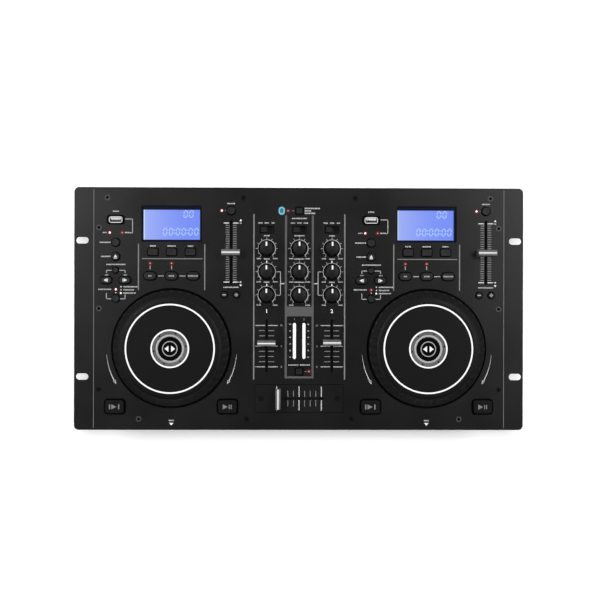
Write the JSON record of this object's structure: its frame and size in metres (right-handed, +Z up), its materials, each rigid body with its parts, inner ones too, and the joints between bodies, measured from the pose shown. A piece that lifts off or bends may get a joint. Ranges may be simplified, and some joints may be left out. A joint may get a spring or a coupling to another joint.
{
  "type": "dj disc player console",
  "caption": "Rack-width DJ console with slot-loading disc decks, large jog wheels, and a central mixer with rotary knobs, sliding faders and a crossfader.",
  "frame": {"origin": "on the table, under the middle of the face panel", "axes": "+X along the rack width towards the right-hand deck, +Y from the front edge to the back, +Z up"},
  "size_m": [0.4826, 0.2604, 0.1043],
  "materials": {
    "panel_paint": "satin black powder coat",
    "case_paint": "satin black powder coat",
    "foot_rubber": "matte",
    "black_screw": "black zinc",
    "board": "black solder mask",
    "lamp_lens": "clear moulded lens",
    "connector_plastic": "moulded",
    "screen": "blue back-lit screen",
    "socket_metal": "nickel plated",
    "zinc_steel": "zinc plated sheet",
    "dish_plastic": "moulded",
    "jog_plastic": "satin moulded",
    "hub_plastic": "moulded",
    "fader_plastic": "moulded",
    "key_plastic": "moulded",
    "knob_plastic": "soft-touch moulded"
  },
  "bodies": {
    "console": {"face_panel": "panel_paint", "chassis": "case_paint", "crossfader_plate": "panel_paint", "rubber_feet": "foot_rubber", "panel_screws": "black_screw", "control_board": "board", "indicator_lamps": "lamp_lens", "power_supply": "board", "rear_connectors": "connector_plastic", "front_sockets": "connector_plastic", "display_modules": "screen", "usb_sockets": "socket_metal", "disc_drives": "zinc_steel", "jog_bases": "dish_plastic"},
    "left_jog_wheel": {"left_jog_wheel": "jog_plastic"},
    "left_spindle": {"left_spindle": "hub_plastic"},
    "left_pitch_slider": {"left_pitch_slider": "fader_plastic"},
    "left_select_button": {"left_select_button": "key_plastic"},
    "left_eject_button": {"left_eject_button": "key_plastic"},
    "left_plus_ten_button": {"left_plus_ten_button": "key_plastic"},
    "left_search_buttons": {"left_search_buttons": "key_plastic"},
    "left_jog_mode_button": {"left_jog_mode_button": "key_plastic"},
    "left_display_buttons": {"left_display_buttons": "key_plastic"},
    "left_loop_buttons": {"left_loop_buttons": "key_plastic"},
    "left_pitch_button": {"left_pitch_button": "key_plastic"},
    "left_bend_buttons": {"left_bend_buttons": "key_plastic"},
    "left_cue_button": {"left_cue_button": "key_plastic"},
    "left_play_button": {"left_play_button": "key_plastic"},
    "right_jog_wheel": {"right_jog_wheel": "jog_plastic"},
    "right_spindle": {"right_spindle": "hub_plastic"},
    "right_pitch_slider": {"right_pitch_slider": "fader_plastic"},
    "right_select_button": {"right_select_button": "key_plastic"},
    "right_eject_button": {"right_eject_button": "key_plastic"},
    "right_plus_ten_button": {"right_plus_ten_button": "key_plastic"},
    "right_search_buttons": {"right_search_buttons": "key_plastic"},
    "right_jog_mode_button": {"right_jog_mode_button": "key_plastic"},
    "right_display_buttons": {"right_display_buttons": "key_plastic"},
    "right_loop_buttons": {"right_loop_buttons": "key_plastic"},
    "right_pitch_button": {"right_pitch_button": "key_plastic"},
    "right_bend_buttons": {"right_bend_buttons": "key_plastic"},
    "right_cue_button": {"right_cue_button": "key_plastic"},
    "right_play_button": {"right_play_button": "key_plastic"},
    "gain_knob_1": {"gain_knob_1": "knob_plastic"},
    "treble_knob_1": {"treble_knob_1": "knob_plastic"},
    "bass_knob_1": {"bass_knob_1": "knob_plastic"},
    "cue_volume_knob": {"cue_volume_knob": "knob_plastic"},
    "mic_volume_knob": {"mic_volume_knob": "knob_plastic"},
    "master_knob": {"master_knob": "knob_plastic"},
    "gain_knob_2": {"gain_knob_2": "knob_plastic"},
    "treble_knob_2": {"treble_knob_2": "knob_plastic"},
    "bass_knob_2": {"bass_knob_2": "knob_plastic"},
    "input_switch_1": {"input_switch_1": "key_plastic"},
    "cue_switch": {"cue_switch": "key_plastic"},
    "input_switch_2": {"input_switch_2": "key_plastic"},
    "channel_fader_1": {"channel_fader_1": "fader_plastic"},
    "channel_fader_2": {"channel_fader_2": "fader_plastic"},
    "crossfader": {"crossfader": "fader_plastic"},
    "pairing_button": {"pairing_button": "key_plastic"},
    "fader_start_button": {"fader_start_button": "key_plastic"},
    "power_switch": {"power_switch": "key_plastic"}
  },
  "joints": [
    {"name": "left_jog_spin", "type": "hinge", "parent": "console", "child": "left_jog_wheel", "pos_m": [-0.137, -0.0424, 0.09], "axis": [0, 0, 1], "continuous": true},
    {"name": "left_spindle_spin", "type": "hinge", "parent": "console", "child": "left_spindle", "pos_m": [-0.137, -0.046, 0.029], "axis": [0, 0, 1], "continuous": true},
    {"name": "left_pitch_slide", "type": "slide", "parent": "console", "child": "left_pitch_slider", "axis": [0, 1, 0], "range_m": [-0.02945, 0.03055]},
    {"name": "left_select_button_press", "type": "slide", "parent": "console", "child": "left_select_button", "axis": [0, 0, -1], "range_m": [0, 0.0005], "stiffness_N_per_m": 1000},
    {"name": "left_eject_button_press", "type": "slide", "parent": "console", "child": "left_eject_button", "axis": [0, 0, -1], "range_m": [0, 0.0005], "stiffness_N_per_m": 1000},
    {"name": "left_plus_ten_button_press", "type": "slide", "parent": "console", "child": "left_plus_ten_button", "axis": [0, 0, -1], "range_m": [0, 0.0005], "stiffness_N_per_m": 1000},
    {"name": "left_search_buttons_press", "type": "slide", "parent": "console", "child": "left_search_buttons", "axis": [0, 0, -1], "range_m": [0, 0.0005], "stiffness_N_per_m": 1000},
    {"name": "left_jog_mode_button_press", "type": "slide", "parent": "console", "child": "left_jog_mode_button", "axis": [0, 0, -1], "range_m": [0, 0.0005], "stiffness_N_per_m": 1000},
    {"name": "left_display_buttons_press", "type": "slide", "parent": "console", "child": "left_display_buttons", "axis": [0, 0, -1], "range_m": [0, 0.0005], "stiffness_N_per_m": 1000},
    {"name": "left_loop_buttons_press", "type": "slide", "parent": "console", "child": "left_loop_buttons", "axis": [0, 0, -1], "range_m": [0, 0.0005], "stiffness_N_per_m": 1000},
    {"name": "left_pitch_button_press", "type": "slide", "parent": "console", "child": "left_pitch_button", "axis": [0, 0, -1], "range_m": [0, 0.0005], "stiffness_N_per_m": 1000},
    {"name": "left_bend_buttons_press", "type": "slide", "parent": "console", "child": "left_bend_buttons", "axis": [0, 0, -1], "range_m": [0, 0.0005], "stiffness_N_per_m": 1000},
    {"name": "left_cue_button_press", "type": "slide", "parent": "console", "child": "left_cue_button", "axis": [0, 0, -1], "range_m": [0, 0.001], "stiffness_N_per_m": 1000},
    {"name": "left_play_button_press", "type": "slide", "parent": "console", "child": "left_play_button", "axis": [0, 0, -1], "range_m": [0, 0.001], "stiffness_N_per_m": 1000},
    {"name": "right_jog_spin", "type": "hinge", "parent": "console", "child": "right_jog_wheel", "pos_m": [0.137, -0.0424, 0.09], "axis": [0, 0, 1], "continuous": true},
    {"name": "right_spindle_spin", "type": "hinge", "parent": "console", "child": "right_spindle", "pos_m": [0.137, -0.046, 0.029], "axis": [0, 0, 1], "continuous": true},
    {"name": "right_pitch_slide", "type": "slide", "parent": "console", "child": "right_pitch_slider", "axis": [0, 1, 0], "range_m": [-0.02945, 0.03055]},
    {"name": "right_select_button_press", "type": "slide", "parent": "console", "child": "right_select_button", "axis": [0, 0, -1], "range_m": [0, 0.0005], "stiffness_N_per_m": 1000},
    {"name": "right_eject_button_press", "type": "slide", "parent": "console", "child": "right_eject_button", "axis": [0, 0, -1], "range_m": [0, 0.0005], "stiffness_N_per_m": 1000},
    {"name": "right_plus_ten_button_press", "type": "slide", "parent": "console", "child": "right_plus_ten_button", "axis": [0, 0, -1], "range_m": [0, 0.0005], "stiffness_N_per_m": 1000},
    {"name": "right_search_buttons_press", "type": "slide", "parent": "console", "child": "right_search_buttons", "axis": [0, 0, -1], "range_m": [0, 0.0005], "stiffness_N_per_m": 1000},
    {"name": "right_jog_mode_button_press", "type": "slide", "parent": "console", "child": "right_jog_mode_button", "axis": [0, 0, -1], "range_m": [0, 0.0005], "stiffness_N_per_m": 1000},
    {"name": "right_display_buttons_press", "type": "slide", "parent": "console", "child": "right_display_buttons", "axis": [0, 0, -1], "range_m": [0, 0.0005], "stiffness_N_per_m": 1000},
    {"name": "right_loop_buttons_press", "type": "slide", "parent": "console", "child": "right_loop_buttons", "axis": [0, 0, -1], "range_m": [0, 0.0005], "stiffness_N_per_m": 1000},
    {"name": "right_pitch_button_press", "type": "slide", "parent": "console", "child": "right_pitch_button", "axis": [0, 0, -1], "range_m": [0, 0.0005], "stiffness_N_per_m": 1000},
    {"name": "right_bend_buttons_press", "type": "slide", "parent": "console", "child": "right_bend_buttons", "axis": [0, 0, -1], "range_m": [0, 0.0005], "stiffness_N_per_m": 1000},
    {"name": "right_cue_button_press", "type": "slide", "parent": "console", "child": "right_cue_button", "axis": [0, 0, -1], "range_m": [0, 0.001], "stiffness_N_per_m": 1000},
    {"name": "right_play_button_press", "type": "slide", "parent": "console", "child": "right_play_button", "axis": [0, 0, -1], "range_m": [0, 0.001], "stiffness_N_per_m": 1000},
    {"name": "gain_knob_1_turn", "type": "hinge", "parent": "console", "child": "gain_knob_1", "pos_m": [-0.035, 0.0648, 0.09], "axis": [0, 0, -1], "range_deg": [-145, 145]},
    {"name": "treble_knob_1_turn", "type": "hinge", "parent": "console", "child": "treble_knob_1", "pos_m": [-0.035, 0.0398, 0.09], "axis": [0, 0, -1], "range_deg": [-145, 145]},
    {"name": "bass_knob_1_turn", "type": "hinge", "parent": "console", "child": "bass_knob_1", "pos_m": [-0.035, 0.0149, 0.09], "axis": [0, 0, -1], "range_deg": [-145, 145]},
    {"name": "cue_volume_knob_turn", "type": "hinge", "parent": "console", "child": "cue_volume_knob", "pos_m": [0, 0.0648, 0.09], "axis": [0, 0, -1], "range_deg": [-145, 145]},
    {"name": "mic_volume_knob_turn", "type": "hinge", "parent": "console", "child": "mic_volume_knob", "pos_m": [0, 0.0398, 0.09], "axis": [0, 0, -1], "range_deg": [-145, 145]},
    {"name": "master_knob_turn", "type": "hinge", "parent": "console", "child": "master_knob", "pos_m": [0, 0.0149, 0.09], "axis": [0, 0, -1], "range_deg": [-145, 145]},
    {"name": "gain_knob_2_turn", "type": "hinge", "parent": "console", "child": "gain_knob_2", "pos_m": [0.035, 0.0648, 0.09], "axis": [0, 0, -1], "range_deg": [-145, 145]},
    {"name": "treble_knob_2_turn", "type": "hinge", "parent": "console", "child": "treble_knob_2", "pos_m": [0.035, 0.0398, 0.09], "axis": [0, 0, -1], "range_deg": [-145, 145]},
    {"name": "bass_knob_2_turn", "type": "hinge", "parent": "console", "child": "bass_knob_2", "pos_m": [0.035, 0.0149, 0.09], "axis": [0, 0, -1], "range_deg": [-145, 145]},
    {"name": "input_switch_1_slide", "type": "slide", "parent": "console", "child": "input_switch_1", "axis": [1, 0, 0], "range_m": [0, 0.0064]},
    {"name": "cue_switch_slide", "type": "slide", "parent": "console", "child": "cue_switch", "axis": [1, 0, 0], "range_m": [0, 0.0064]},
    {"name": "input_switch_2_slide", "type": "slide", "parent": "console", "child": "input_switch_2", "axis": [1, 0, 0], "range_m": [0, 0.0064]},
    {"name": "channel_fader_1_slide", "type": "slide", "parent": "console", "child": "channel_fader_1", "axis": [0, 1, 0], "range_m": [-0.0258, 0.0192]},
    {"name": "channel_fader_2_slide", "type": "slide", "parent": "console", "child": "channel_fader_2", "axis": [0, 1, 0], "range_m": [-0.0266, 0.0184]},
    {"name": "crossfader_slide", "type": "slide", "parent": "console", "child": "crossfader", "axis": [1, 0, 0], "range_m": [0, 0.045]},
    {"name": "pairing_button_press", "type": "slide", "parent": "console", "child": "pairing_button", "axis": [0, 0, -1], "range_m": [0, 0.0005], "stiffness_N_per_m": 1000},
    {"name": "fader_start_button_press", "type": "slide", "parent": "console", "child": "fader_start_button", "axis": [0, 0, -1], "range_m": [0, 0.0005], "stiffness_N_per_m": 1000},
    {"name": "power_switch_rock", "type": "hinge", "parent": "console", "child": "power_switch", "pos_m": [-0.186, 0.119, 0.047], "axis": [1, 0, 0], "range_deg": [-8, 0]}
  ]
}
